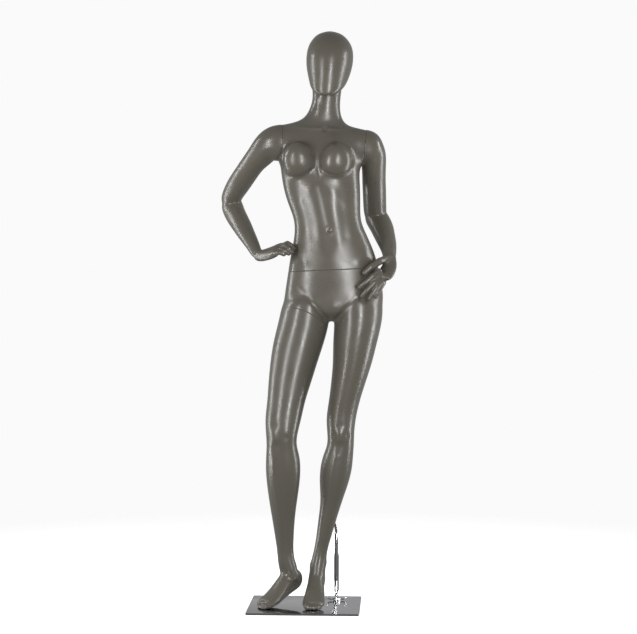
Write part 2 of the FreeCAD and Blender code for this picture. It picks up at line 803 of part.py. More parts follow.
def build_neck_fitting():
    """Flanged spigot let into the neck and a bush in the head that turns on it."""
    base = neck_top
    flange_disc = Part.makeCylinder(spigot_flange_radius, plate_thickness, base - UP * plate_thickness)
    peg = Part.makeCylinder(spigot_radius, spigot_height, base)
    frame = FreeCAD.Placement(base, FreeCAD.Rotation())
    fixing = put(screws(spigot_flange_radius - 8, [30, 150, 270], 0, -1), frame)
    spigot = flange_disc.fuse(peg).cut(fixing)
    recess = Part.makeCylinder(spigot_flange_radius + plate_fit, plate_thickness + 5,
                               base - UP * plate_thickness)
    bush_base = base + UP * seam_gap
    bush = Part.makeCylinder(socket_radius, spigot_height + 3, bush_base)
    bush = bush.cut(Part.makeCylinder(spigot_radius + spigot_fit, spigot_height, bush_base))
    bush_room = Part.makeCylinder(socket_radius, spigot_height + 3, bush_base)
    return spigot, fixing, recess, bush, bush_room


# -------------------------------------------------------------- base and rod

def base_parts():
    plate = Part.makeBox(base_width, base_depth, base_thickness,
                         Vector(-base_width / 2, -base_depth / 2, pad_thickness))
    upright = [edge for edge in plate.Edges if abs(edge.tangentAt(edge.FirstParameter).z) > 0.9]
    plate = plate.makeFillet(base_corner, upright)
    pad = Part.makeBox(base_width - 2 * pad_inset, base_depth - 2 * pad_inset, pad_thickness,
                       Vector(-base_width / 2 + pad_inset, -base_depth / 2 + pad_inset, 0))
    underside = Vector(rod_x, rod_y, pad_thickness)
    cone = Part.makeCone(stud_cone_radius, thread_radius, stud_cone_height, underside)
    reach = base_thickness + foot_ball_height - foot_ball_radius + thread_depth
    shank = Part.makeCylinder(thread_radius, reach, underside)
    bolt = cone.fuse(shank)
    plate = plate.cut(bolt)
    return plate, pad, bolt


def washer_and_wing_nut():
    bore = thread_radius + thread_fit
    washer = Part.makeCylinder(washer_radius, washer_thickness, rod_foot_point)
    washer = washer.cut(Part.makeCylinder(bore, 20, rod_foot_point - UP * 5))
    seat = rod_foot_point + UP * washer_thickness
    hub = Part.makeCone(wing_hub_radius, wing_hub_radius - 1.5, wing_nut_height, seat)
    half_span = wing_span / 2
    outline = Part.Wire([
        Part.makeLine(Vector(0, 0, 0.4), Vector(half_span * 0.55, 0, 0.8)),
        Part.Arc(Vector(half_span * 0.55, 0, 0.8), Vector(half_span * 0.85, 0, 3.2),
                 Vector(half_span, 0, wing_tip_height)).toShape(),
        Part.Arc(Vector(half_span, 0, wing_tip_height), Vector(half_span - 1.8, 0, wing_tip_height + 0.6),
                 Vector(half_span - 2.6, 0, wing_tip_height - 1.4)).toShape(),
        Part.Arc(Vector(half_span - 2.6, 0, wing_tip_height - 1.4), Vector(half_span * 0.80, 0, 5.6),
                 Vector(half_span * 0.55, 0, 3.6)).toShape(),
        Part.makeLine(Vector(half_span * 0.55, 0, 3.6), Vector(0, 0, wing_root + 0.4)),
        Part.makeLine(Vector(0, 0, wing_root + 0.4), Vector(0, 0, 0.4)),
    ])
    blade = Part.Face(outline).extrude(Vector(0, wing_thickness, 0))
    blade.translate(Vector(0, -wing_thickness / 2, 0))
    other = blade.copy()
    other.rotate(Vector(0, 0, 0), UP, 180)
    blade.translate(seat)
    other.translate(seat)
    nut = fuse_all([hub, blade, other])
    nut = nut.cut(Part.makeCylinder(bore, 30, rod_foot_point - UP * 5))
    return washer, nut


def rod_foot():
    """Ball nut, neck and the plug pressed into the tube."""
    centre = rod_foot_point + UP * foot_ball_height
    ball = Part.makeSphere(foot_ball_radius, centre)
    flat = rod_foot_point + UP * (foot_ball_height - foot_ball_radius + 0.6)
    ball = above(ball, flat, UP)
    neck = Part.makeCylinder(foot_neck_radius, rod_bottom - foot_ball_height, centre)
    collar = Part.makeCylinder(rod_radius - 0.8, 3.0, rod_foot_point + UP * (rod_bottom - 3.0))
    plug = Part.makeCylinder(rod_bore_radius, 18, rod_foot_point + UP * rod_bottom)
    solid = fuse_all([ball, neck, collar, plug])
    hole = Part.makeCylinder(thread_radius, thread_depth + foot_ball_height - foot_ball_radius,
                             rod_foot_point)
    return solid.cut(hole)


def rod_tube():
    length = rod_top - rod_bottom
    tube = Part.makeCylinder(rod_radius, length, rod_foot_point + UP * rod_bottom)
    bore = Part.makeCylinder(rod_bore_radius, length - pin_seat, rod_foot_point + UP * rod_bottom)
    seat = Part.makeCylinder(pin_radius, pin_seat, rod_foot_point + UP * (rod_top - pin_seat))
    tube = tube.cut(bore).cut(seat)
    rim = [edge for edge in tube.Edges
           if abs(edge.BoundBox.ZMin - edge.BoundBox.ZMax) < 0.01 and edge.Length > 2 * math.pi * rod_radius - 1]
    return tube.makeChamfer(0.8, rim)


def main():
    plate, pad, bolt = base_parts()
    export(plate, "base_plate")
    export(pad, "base_pad")
    export(bolt, "base_stud")
    washer, nut = washer_and_wing_nut()
    export(washer, "foot_washer")
    export(nut, "wing_nut")
    export(rod_foot(), "rod_foot")
    export(rod_tube(), "rod_tube")
    export(rod_pin(), "rod_pin")

    pelvis, leg, upper_trunk = build_figure()

    waist_frame, waist_low, waist_high = waist_fitting()
    thigh_frame, thigh_low, thigh_high = thigh_fitting()

    # Hips and left leg
    bore = calf_bore()
    blank = calf_socket_blank()
    socket = blank.cut(bore).common(pelvis)
    shell = build_pelvis(pelvis)
    shell = shell.cut(put(waist_low[2], waist_frame)).cut(put(waist_low[1], waist_frame))
    shell = shell.cut(put(thigh_high[2], thigh_frame)).cut(put(thigh_high[1], thigh_frame))
    shell = shell.cut(blank).cut(bore)
    export(socket, "calf_socket")
    export(shell, "hips_and_left_leg")
    export(put(waist_low[0], waist_frame), "waist_stud_plate")
    export(put(waist_low[1], waist_frame), "waist_stud_screws")
    export(put(thigh_high[0], thigh_frame), "thigh_slotted_plate")
    export(put(thigh_high[1], thigh_frame), "thigh_slotted_screws")

    # Right leg
    shell = build_right_leg(leg)
    shell = shell.cut(put(thigh_low[2], thigh_frame)).cut(put(thigh_low[1], thigh_frame))
    export(shell, "right_leg")
    export(put(thigh_low[0], thigh_frame), "thigh_stud_plate")
    export(put(thigh_low[1], thigh_frame), "thigh_stud_screws")

    # Torso and the head on its neck
    torso = build_torso(upper_trunk)
    torso = torso.cut(put(waist_high[2], waist_frame)).cut(put(waist_high[1], waist_frame))
    spigot, neck_screws, neck_recess, bush, bush_room = build_neck_fitting()
    torso = torso.cut(neck_recess).cut(neck_screws)
    arms = [
        ("right", right_shoulder, right_out, right_upper, right_fore, right_hand()),
        ("left", left_shoulder, left_out, left_upper, left_fore, left_hand()),
    ]
    for name, shoulder, outward, upper, fore, hand_shapes in arms:
        frame, arm_side, torso_side = shoulder_fitting(shoulder, outward)
        torso = torso.cut(put(torso_side[2], frame)).cut(put(torso_side[1], frame))
        arm = build_arm(upper, fore, hand_shapes, shoulder, outward)
        arm = arm.cut(put(arm_side[2], frame)).cut(put(arm_side[1], frame))
        export(arm, name + "_arm")
        export(put(arm_side[0], frame), name + "_arm_stud_plate")
        export(put(arm_side[1], frame), name + "_arm_screws")
        export(put(torso_side[0], frame), name + "_shoulder_slotted_plate")
        export(put(torso_side[1], frame), name + "_shoulder_screws")
    export(torso, "upper_torso")
    export(put(waist_high[0], waist_frame), "waist_slotted_plate")
    export(put(waist_high[1], waist_frame), "waist_slotted_screws")
    export(spigot, "neck_spigot")
    export(neck_screws, "neck_screws")
    export(bush, "head_bush")
    export(build_head().cut(bush_room), "head")


main()
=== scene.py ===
import json
import math
import bpy
import bmesh
import numpy as np
from mathutils import Matrix, Vector


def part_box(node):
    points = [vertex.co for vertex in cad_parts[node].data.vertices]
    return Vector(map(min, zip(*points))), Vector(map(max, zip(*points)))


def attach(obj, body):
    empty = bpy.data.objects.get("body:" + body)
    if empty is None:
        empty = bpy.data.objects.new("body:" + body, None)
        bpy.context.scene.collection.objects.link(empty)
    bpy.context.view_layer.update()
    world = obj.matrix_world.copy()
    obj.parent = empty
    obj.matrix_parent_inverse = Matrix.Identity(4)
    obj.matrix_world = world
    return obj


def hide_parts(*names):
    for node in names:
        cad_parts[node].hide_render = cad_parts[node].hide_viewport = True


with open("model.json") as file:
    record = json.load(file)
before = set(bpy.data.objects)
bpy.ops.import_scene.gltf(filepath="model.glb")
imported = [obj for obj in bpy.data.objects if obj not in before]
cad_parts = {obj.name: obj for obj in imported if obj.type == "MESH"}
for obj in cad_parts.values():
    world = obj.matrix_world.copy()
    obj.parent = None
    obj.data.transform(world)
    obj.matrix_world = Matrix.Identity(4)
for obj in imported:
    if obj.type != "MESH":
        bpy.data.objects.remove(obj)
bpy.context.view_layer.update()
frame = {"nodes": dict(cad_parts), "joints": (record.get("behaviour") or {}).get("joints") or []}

nodes = frame["nodes"]
joints = {joint["name"]: joint for joint in frame["joints"]}
scene = bpy.context.scene
print("frame loaded:", len(nodes), "nodes")

soleHeight = 6.9                # mm, the soles stand this far above the floor
weldDistance = 0.000004         # metres, closer points of a node's mesh are one


def toLinear(hexValue):
    # sRGB hex to linear RGBA
    channels = []
    for shift in (16, 8, 0):
        c = (hexValue >> shift & 255) / 255
        channels.append(c / 12.92 if c <= 0.04045 else ((c + 0.055) / 1.055) ** 2.4)
    return (*channels, 1.0)


def addNode(tree, kind, settings=None, links=None):
    # settings: property names or input names; links: input name -> output socket
    node = tree.nodes.new(kind)
    for key, value in (settings or {}).items():
        if isinstance(key, str) and key in node.bl_rna.properties:
            setattr(node, key, value)
        else:
            node.inputs[key].default_value = value
    for key, socket in (links or {}).items():
        tree.links.new(socket, node.inputs[key])
    return node


def newMaterial(name):
    material = bpy.data.materials.new(name)
    material.use_nodes = True
    material.node_tree.nodes.clear()
    return material, material.node_tree


def finishMaterial(tree, shader):
    addNode(tree, "ShaderNodeOutputMaterial", links={"Surface": shader.outputs[0]})


def meshObject(name, mesh, material):
    obj = bpy.data.objects.new(name, mesh)
    mesh.materials.clear()
    mesh.materials.append(material)
    scene.collection.objects.link(obj)
    return obj


def bmeshObject(name, bm, material):
    mesh = bpy.data.meshes.new(name)
    bm.to_mesh(mesh)
    bm.free()
    return meshObject(name, mesh, material)


lacquer = {
    "warmer": 0x57534A,
    "cooler": 0x504D47,
    "cloudSize": 160.0,       # mm, slow change of tone over a limb
    "orangePeel": 3.2,        # mm, the ripple that a spray gun leaves
    "flake": 0.5,             # mm, fine grain, drawn coarser than the real 0.1 mm so it shows
    "rubbedPatch": 45.0,      # mm, handling polishes the coat in patches
    "roughness": (0.27, 0.34),
    "peelHeight": 0.05,
}


def lacquerMaterial():
    # polyester lacquer on glass fibre: an even colour with a soft clear reflection
    material, tree = newMaterial("sprayedTaupeLacquer")
    place = addNode(tree, "ShaderNodeTexCoord").outputs["Object"]
    clouds = addNode(tree, "ShaderNodeTexNoise", {"Scale": 1000 / lacquer["cloudSize"], "Detail": 2.0},
                     {"Vector": place})
    flake = addNode(tree, "ShaderNodeTexNoise", {"Scale": 1000 / lacquer["flake"], "Detail": 1.0},
                    {"Vector": place})
    tone = addNode(tree, "ShaderNodeMix",
                   {"data_type": "RGBA", "A": toLinear(lacquer["warmer"]), "B": toLinear(lacquer["cooler"])},
                   {"Factor": clouds.outputs["Fac"]})
    grain = addNode(tree, "ShaderNodeMapRange", {"From Min": 0.3, "From Max": 0.7, "To Min": 0.97, "To Max": 1.03},
                    {"Value": flake.outputs["Fac"]})
    tint = addNode(tree, "ShaderNodeVectorMath", {"operation": "SCALE"},
                   {0: tone.outputs["Result"], "Scale": grain.outputs["Result"]})
    patch = addNode(tree, "ShaderNodeTexNoise", {"Scale": 1000 / lacquer["rubbedPatch"], "Detail": 3.0},
                    {"Vector": place})
    low, high = lacquer["roughness"]
    sheen = addNode(tree, "ShaderNodeMapRange", {"From Min": 0.35, "From Max": 0.65, "To Min": low, "To Max": high},
                    {"Value": patch.outputs["Fac"]})
    peel = addNode(tree, "ShaderNodeTexNoise", {"Scale": 1000 / lacquer["orangePeel"], "Detail": 1.0},
                   {"Vector": place})
    ripple = addNode(tree, "ShaderNodeBump", {"Strength": lacquer["peelHeight"], "Distance": 0.0006},
                     {"Height": peel.outputs["Fac"]})
    shader = addNode(tree, "ShaderNodeBsdfPrincipled", {"IOR": 1.52},
                     {"Base Color": tint.outputs[0], "Roughness": sheen.outputs["Result"],
                      "Normal": ripple.outputs["Normal"]})
    finishMaterial(tree, shader)
    return material


smearSize = 40.0                # mm, wiped patches on bright metal
metals = {                      # scratch is in mm
    "mirrorSteel": {"colour": 0xB4B5B8, "roughness": (0.05, 0.11), "scratch": 0.35, "bump": 0.02},
    "chromedTube": {"colour": 0xC9CACC, "roughness": (0.05, 0.10), "scratch": 0.5, "bump": 0.02},
    "zincPlate": {"colour": 0xB9BCBE, "roughness": (0.28, 0.45), "scratch": 0.6, "bump": 0.10},
}


def metalMaterial(name, stretch):
    # stretch: how far the scratches are drawn out along each axis by the polishing
    look = metals[name]
    material, tree = newMaterial(name)
    place = addNode(tree, "ShaderNodeTexCoord").outputs["Object"]
    lie = addNode(tree, "ShaderNodeMapping", {"Scale": stretch}, {"Vector": place})
    scratches = addNode(tree, "ShaderNodeTexNoise", {"Scale": 1000 / look["scratch"], "Detail": 2.0},
                        {"Vector": lie.outputs[0]})
    smears = addNode(tree, "ShaderNodeTexNoise", {"Scale": 1000 / smearSize, "Detail": 3.0}, {"Vector": place})
    mixed = addNode(tree, "ShaderNodeMath", {"operation": "MULTIPLY"},
                    {0: scratches.outputs["Fac"], 1: smears.outputs["Fac"]})
    low, high = look["roughness"]
    rough = addNode(tree, "ShaderNodeMapRange", {"From Min": 0.1, "From Max": 0.4, "To Min": low, "To Max": high},
                    {"Value": mixed.outputs[0]})
    ripple = addNode(tree, "ShaderNodeBump", {"Strength": look["bump"], "Distance": 0.0002},
                     {"Height": scratches.outputs["Fac"]})
    shader = addNode(tree, "ShaderNodeBsdfPrincipled", {"Base Color": toLinear(look["colour"]), "Metallic": 1.0},
                     {"Roughness": rough.outputs["Result"], "Normal": ripple.outputs["Normal"]})
    finishMaterial(tree, shader)
    return material


def mattMaterial(name, dark, light, grain, roughness, height):
    # moulded rubber or nylon: dark, with a fine grain of the mould
    material, tree = newMaterial(name)
    place = addNode(tree, "ShaderNodeTexCoord").outputs["Object"]
    speck = addNode(tree, "ShaderNodeTexNoise", {"Scale": 1000 / grain, "Detail": 2.0}, {"Vector": place})
    ramp = addNode(tree, "ShaderNodeValToRGB", links={"Fac": speck.outputs["Fac"]})
    ramp.color_ramp.elements[0].color = toLinear(dark)
    ramp.color_ramp.elements[1].color = toLinear(light)
    ripple = addNode(tree, "ShaderNodeBump", {"Strength": height, "Distance": 0.0004},
                     {"Height": speck.outputs["Fac"]})
    shader = addNode(tree, "ShaderNodeBsdfPrincipled", {"Roughness": roughness},
                     {"Base Color": ramp.outputs["Color"], "Normal": ripple.outputs["Normal"]})
    finishMaterial(tree, shader)
    return material


taupeLacquer = lacquerMaterial()
mirrorSteel = metalMaterial("mirrorSteel", (1.0, 0.04, 1.0))
chromedTube = metalMaterial("chromedTube", (1.0, 1.0, 0.05))
zincPlate = metalMaterial("zincPlate", (1.0, 0.15, 1.0))
padRubber = mattMaterial("blackPadRubber", 0x0C0C0C, 0x1C1C1B, 0.8, 0.85, 0.4)
nylonBush = mattMaterial("blackNylon", 0x131313, 0x202020, 0.6, 0.5, 0.15)
print("materials made")


def spot(x, y, z):
    # a place on the figure, in mm above the soles
    return Vector((x, y, z + soleHeight)) / 1000


def islands(bm):
    left = set(bm.verts)
    found = []
    while left:
        start = left.pop()
        group = [start]
        queue = [start]
        while queue:
            for edge in queue.pop().link_edges:
                for vert in edge.verts:
                    if vert in left:
                        left.remove(vert)
                        group.append(vert)
                        queue.append(vert)
        found.append(group)
    return found


def spread(group):
    low = [min(v.co[k] for v in group) for k in range(3)]
    high = [max(v.co[k] for v in group) for k in range(3)]
    return (Vector(high) - Vector(low)).length


def keepLargest(bm):
    groups = sorted(islands(bm), key=spread)
    inner = [v for group in groups[:-1] for v in group]
    bmesh.ops.delete(bm, geom=inner, context="VERTS")


def onlyLargest(mesh):
    bm = bmesh.new()
    bm.from_mesh(mesh)
    keepLargest(bm)
    bm.to_mesh(mesh)
    bm.free()
    return mesh


def outerSkin(name):
    # a copy of a node's mesh, merged, without its inner cavity
    bm = bmesh.new()
    bm.from_mesh(nodes[name].data)
    bmesh.ops.remove_doubles(bm, verts=bm.verts, dist=weldDistance)
    keepLargest(bm)
    return bm


def trim(bm, point, normal):
    # keeps what is behind the plane and closes the cut
    geom = bm.verts[:] + bm.edges[:] + bm.faces[:]
    bmesh.ops.bisect_plane(bm, geom=geom, dist=0.000001, plane_co=point, plane_no=normal, clear_outer=True)
    open_ = [e for e in bm.edges if e.is_boundary]
    bmesh.ops.holes_fill(bm, edges=open_)


def joinInto(bm, other):
    mesh = bpy.data.meshes.new("part")
    other.to_mesh(mesh)
    other.free()
    bm.from_mesh(mesh)
    bpy.data.meshes.remove(mesh)


def evenMesh(bm, voxel):
    # one closed skin of even squares round everything in bm
    mesh = bpy.data.meshes.new("even")
    bm.to_mesh(mesh)
    bm.free()
    obj = bpy.data.objects.new("even", mesh)
    scene.collection.objects.link(obj)
    modifier = obj.modifiers.new("even", "REMESH")
    modifier.mode = "VOXEL"
    modifier.voxel_size = voxel
    modifier.adaptivity = 0
    depsgraph = bpy.context.evaluated_depsgraph_get()
    result = bpy.data.meshes.new_from_object(obj.evaluated_get(depsgraph))
    bpy.data.objects.remove(obj)
    clean = bmesh.new()
    clean.from_mesh(result)
    keepLargest(clean)
    clean.to_mesh(result)
    clean.free()
    return result


def points(mesh):
    co = np.zeros(len(mesh.vertices) * 3)
    mesh.vertices.foreach_get("co", co)
    return co.reshape(-1, 3)


def setPoints(mesh, co):
    mesh.vertices.foreach_set("co", co.ravel())
    mesh.update()


def normals(mesh):
    no = np.zeros(len(mesh.vertices) * 3, np.float32)
    mesh.vertex_normals.foreach_get("vector", no)
    return no.reshape(-1, 3).astype(float)


def relax(mesh, weight, rounds):
    # moves each point towards the middle of its neighbours, weight 0 to 1 for each
    co = points(mesh)
    ends = np.zeros(len(mesh.edges) * 2, np.int64)
    mesh.edges.foreach_get("vertices", ends)
    a, b = ends[0::2], ends[1::2]
    active = (weight[a] > 0) | (weight[b] > 0)
    a, b = a[active], b[active]
    count = len(co)
    both = np.concatenate([a, b])
    other = np.concatenate([b, a])
    degree = np.maximum(np.bincount(both, minlength=count), 1)
    pull = (0.5 * weight)[:, None]
    for _ in range(rounds):
        mean = np.stack([np.bincount(both, co[other, k], count) for k in range(3)], 1) / degree[:, None]
        co += (mean - co) * pull
    setPoints(mesh, co)


def lineDistance(co, line):
    # distance from each point to a chain of places
    best = np.full(len(co), 1e9)
    line = [np.array(p) for p in line]
    if len(line) == 1:
        return np.linalg.norm(co - line[0], axis=1)
    for p, q in zip(line[:-1], line[1:]):
        d = q - p
        t = np.clip((co - p) @ d / (d @ d), 0, 1)
        best = np.minimum(best, np.linalg.norm(co - (p + t[:, None] * d), axis=1))
    return best


def press(mesh, line, width, amount):
    # raises (amount over 0) or sinks a rounded line or spot, all in mm
    co = points(mesh)
    near = lineDistance(co, [spot(*p) for p in line]) * 1000 / width
    push = amount / 1000 * np.exp(-near * near)
    co += normals(mesh) * push[:, None]
    setPoints(mesh, co)


def nearness(co, line, width):
    near = lineDistance(co, [spot(*p) for p in line]) * 1000 / width
    return np.exp(-near * near)


def block(planes):
    # everything behind all the planes, as one convex solid
    bm = bmesh.new()
    bmesh.ops.create_cube(bm, size=8.0)
    for point, normal in planes:
        trim(bm, point, normal)
    return bm


def jointBlock(centre, direction, reach, depth):
    # box that starts at a joint face and goes depth along direction
    out = Vector(direction).normalized()
    side = out.cross(Vector((0, 0, 1))).normalized()
    up = side.cross(out)
    planes = [(centre, -out), (centre + out * depth, out)]
    for axis in (side, -side, up, -up):
        planes.append((centre + axis * reach, axis))
    return block(planes)


def turned(bm, centre, axis):
    # stands a solid made round Z on a place with its Z along axis
    turn = Vector((0, 0, 1)).rotation_difference(Vector(axis)).to_matrix().to_4x4()
    bmesh.ops.transform(bm, matrix=Matrix.Translation(centre) @ turn, verts=bm.verts)
    return bm


def lathe(profile, steps):
    # spins radius and height pairs round Z into a closed solid
    bm = bmesh.new()
    chain = [bm.verts.new((r, 0, z)) for r, z in profile]
    for a, b in zip(chain[:-1], chain[1:]):
        bm.edges.new((a, b))
    geom = bm.verts[:] + bm.edges[:]
    bmesh.ops.spin(bm, geom=geom, cent=(0, 0, 0), axis=(0, 0, 1), angle=math.tau, steps=steps, use_merge=True)
    bmesh.ops.remove_doubles(bm, verts=bm.verts, dist=0.000001)
    bmesh.ops.recalc_face_normals(bm, faces=bm.faces)
    return bm


def well(centre, axis, rim, depth, pocket, pocketDepth):
    # recess for a fitting plate with room behind it, axis points into the moulding
    mouth = -0.006
    profile = [(0, mouth), (rim, mouth), (rim, depth)]
    if pocketDepth > depth:
        profile += [(pocket, depth), (pocket, pocketDepth), (0, pocketDepth)]
    else:
        profile.append((0, depth))
    return turned(lathe(profile, 64), centre, axis)


def carve(mesh, cutters, operation):
    # takes each cutter out of the mesh, or keeps only what is inside it
    obj = bpy.data.objects.new("carve", mesh)
    scene.collection.objects.link(obj)
    tools = []
    for cutter in cutters:
        tool = bpy.data.objects.new("cutter", bpy.data.meshes.new("cutter"))
        cutter.to_mesh(tool.data)
        cutter.free()
        scene.collection.objects.link(tool)
        modifier = obj.modifiers.new("cut", "BOOLEAN")
        modifier.solver = "MANIFOLD"
        modifier.operation = operation
        modifier.object = tool
        tools.append(tool)
    depsgraph = bpy.context.evaluated_depsgraph_get()
    result = bpy.data.meshes.new_from_object(obj.evaluated_get(depsgraph))
    for spent in tools + [obj]:
        bpy.data.objects.remove(spent)
    return result


def seamGroove(mesh, centre, normal, reach):
    # adds close loops beside a seam and lets them roll in, so that each edge is softly rounded
    out = Vector(normal).normalized()
    bm = bmesh.new()
    bm.from_mesh(mesh)
    for offset in seams["loops"]:
        plane = Vector(centre) + out * (offset / 1000)
        faces = [f for f in bm.faces
                 if abs((f.calc_center_median() - plane).dot(out)) < 0.005
                 and (f.calc_center_median() - Vector(centre)).length < reach]
        geom = set(faces)
        for face in faces:
            geom.update(face.edges)
            geom.update(face.verts)
        bmesh.ops.bisect_plane(bm, geom=list(geom), dist=0.00001, plane_co=plane, plane_no=out)
    bm.to_mesh(mesh)
    bm.free()
    co = points(mesh)
    away = (co - np.array(centre)) @ np.array(out) * 1000
    close = np.linalg.norm(co - np.array(centre), axis=1) < reach
    roll = seams["depth"] / 1000 * np.exp(-(away / seams["width"]) ** 2) * close
    co -= normals(mesh) * roll[:, None]
    setPoints(mesh, co)


seams = {
    "gap": 0.25,                                # mm, each side of a joint plane
    "loops": (-1.7, -0.9, -0.45, 0.45, 0.9, 1.7),
    "depth": 0.75,
    "width": 0.85,
    "shoulderReach": 0.085,                     # metres round each joint where the groove is looked for
    "waistReach": 0.25,
    "thighReach": 0.125,
}

waist = {"centre": Vector(joints["waist_turn"]["pos_m"]), "up": Vector(joints["waist_turn"]["axis"]), "plate": 58.0}
thigh = {"centre": spot(-6, 2, 901), "up": Vector((0.42, 0.33, 1.0)).normalized(), "plate": 44.0, "pocket": 50.0}
shoulders = {
    "right": {"centre": Vector(joints["right_arm_turn"]["pos_m"]), "out": Vector(joints["right_arm_turn"]["axis"])},
    "left": {"centre": Vector(joints["left_arm_turn"]["pos_m"]), "out": -Vector(joints["left_arm_turn"]["axis"])},
}
shoulderPlate = 30.0
neckTop = Vector(joints["head_turn"]["pos_m"])
plateThick = 3.25               # mm, plate and half of the seam
pocketDepth = 8.0
middle = spot(81, 0, 0)


def trunkSource():
    bm = outerSkin("upper_torso")
    joinInto(bm, outerSkin("hips_and_left_leg"))
    joinInto(bm, outerSkin("right_leg"))
    for side, shoulder in shoulders.items():
        arm = outerSkin(side + "_arm")
        trim(arm, shoulder["centre"] + shoulder["out"] * 0.06, shoulder["out"])
        trim(arm, spot(0, 0, 1390), Vector((0, 0, -1)))
        joinInto(bm, arm)
    return bm


# raised (+) or sunk (-) lines and spots: places in mm above the soles, width, amount
sculpt = [
    # slope from the collar bones down to each breast
    ([(-22, -58, 1462), (-20, -74, 1438)], 34, 9.0),
    ([(106, -58, 1458), (104, -74, 1435)], 34, 9.0),
    ([(-20, -86, 1424)], 24, 4.5),
    ([(104, -86, 1421)], 24, 4.5),
    ([(-46, -52, 1430)], 26, 5.0),
    ([(132, -52, 1426)], 26, 5.0),
    ([(-74, -52, 1400), (-72, -62, 1385)], 17, -6.5),
    # crease under each breast
    ([(-62, -62, 1368), (-46, -84, 1351), (-20, -92, 1342), (8, -90, 1350), (28, -84, 1366)], 5.0, -2.6),
    ([(60, -84, 1366), (80, -90, 1350), (108, -92, 1342), (134, -80, 1351), (150, -56, 1368)], 5.0, -2.6),
    ([(-46, -84, 1343), (-20, -92, 1334), (8, -90, 1342), (30, -86, 1358)], 7.0, 1.6),
    ([(58, -86, 1358), (80, -90, 1342), (108, -92, 1334), (134, -80, 1343)], 7.0, 1.6),
    # breast bone between them
    ([(42, -80, 1440), (44, -86, 1380), (46, -84, 1330)], 9.0, -2.0),
    # collar bones and the notch between them
    ([(52, -34, 1497), (20, -36, 1499), (-24, -26, 1507), (-62, -8, 1511)], 6.5, 2.6),
    ([(76, -34, 1495), (104, -34, 1496), (142, -24, 1500), (170, -6, 1500)], 6.5, 2.6),
    ([(64, -42, 1497)], 8.0, -5.0),
    ([(10, -34, 1513), (-40, -18, 1522)], 9.0, -2.5),
    ([(116, -32, 1509), (152, -16, 1514)], 9.0, -2.5),
    # tendons of the neck that meet at the notch
    ([(34, -24, 1590), (44, -34, 1545), (54, -38, 1508)], 7.5, 2.2),
    ([(104, -24, 1590), (92, -34, 1545), (77, -38, 1506)], 7.5, 2.2),
    # middle line of the belly and the muscle beside it
    ([(52, -84, 1310), (62, -84, 1270), (72, -84, 1220), (79, -84, 1196)], 11.0, -1.7),
    ([(24, -84, 1300), (38, -84, 1260), (50, -84, 1215), (54, -84, 1165), (56, -86, 1130)], 18.0, 1.3),
    ([(88, -84, 1295), (92, -84, 1260), (98, -84, 1210), (106, -84, 1165), (108, -86, 1130)], 18.0, 1.3),
    ([(-4, -76, 1285), (10, -76, 1250), (22, -76, 1205), (26, -80, 1160)], 17.0, -1.4),
    ([(118, -76, 1280), (122, -76, 1250), (128, -76, 1205), (132, -80, 1160)], 17.0, -1.4),
    # edge of the ribs
    ([(46, -86, 1322), (8, -82, 1296), (-22, -66, 1262)], 15.0, 1.0),
    ([(56, -86, 1322), (98, -82, 1294), (134, -66, 1256)], 15.0, 1.0),
    # navel: a deep pit with a soft hood
    ([(81, -84, 1177)], 6.0, -6.5),
    ([(81, -84, 1177)], 3.2, -3.5),
    ([(78, -84, 1186)], 5.0, 1.3),
    ([(81, -84, 1166)], 9.0, 1.2),
    # low belly and hip bones
    ([(86, -96, 1088)], 40.0, 3.5),
    ([(-20, -70, 1095), (-2, -80, 1075)], 15.0, 3.2),
    ([(196, -70, 1100), (178, -82, 1078)], 15.0, 3.2),
    # fold of each groin
    ([(-32, -62, 1010), (10, -82, 972), (48, -76, 928), (72, -50, 895)], 8.0, -3.2),
    ([(212, -58, 1010), (168, -84, 972), (126, -76, 928), (102, -50, 895)], 8.0, -3.2),
    ([(88, -78, 940), (88, -66, 915)], 20.0, 2.2),
    # spine and the dimples above the seat
    ([(62, 84, 1400), (70, 76, 1300), (80, 70, 1200), (88, 78, 1120)], 11.0, -4.5),
    ([(62, 100, 1060)], 9.0, -2.2),
    ([(118, 100, 1060)], 9.0, -2.2),
    ([(88, 112, 1000), (88, 108, 940)], 9.0, -5.0),
    # shoulder blades
    ([(-8, 90, 1440), (-4, 92, 1400), (10, 90, 1365)], 22.0, 3.5),
    ([(116, 90, 1436), (112, 92, 1396), (98, 90, 1361)], 22.0, 3.5),
    # knee caps, the hollows beside them and the back of the knee
    ([(-96, -104, 546), (-92, -104, 528)], 15.0, 3.2),
    ([(-92, -104, 572)], 12.0, -1.6),
    ([(-88, -102, 508)], 11.0, -1.4),
    ([(-52, -98, 535)], 10.0, -2.2),
    ([(112, -42, 542), (111, -42, 524)], 15.0, 3.2),
    ([(114, -44, 566)], 12.0, -1.6),
    ([(109, -38, 505)], 11.0, -1.4),
    ([(86, -36, 534)], 10.0, -2.2),
    ([(138, -34, 534)], 10.0, -2.0),
    ([(-50, 0, 540)], 16.0, -3.0),
    ([(114, 68, 535)], 16.0, -3.0),
    # shin bones
    ([(-98, -92, 480), (-88, -62, 400), (-80, -46, 300), (-76, -30, 200)], 8.0, 1.6),
    ([(100, -32, 470), (84, -24, 400), (68, -8, 300), (50, 14, 200)], 8.0, 1.6),
    # ankle bones and the tendon at each heel
    ([(-84, 4, 118)], 12.0, 2.4),
    ([(-34, 18, 124)], 12.0, 2.2),
    ([(16, 44, 118)], 12.0, 2.2),
    ([(62, 46, 124)], 12.0, 2.2),
    ([(-60, 30, 135), (-56, 34, 105)], 6.0, -1.6),
    ([(24, 66, 140), (22, 70, 110)], 6.0, -1.6),
    ([(52, 66, 140), (54, 70, 110)], 6.0, -1.6),
]

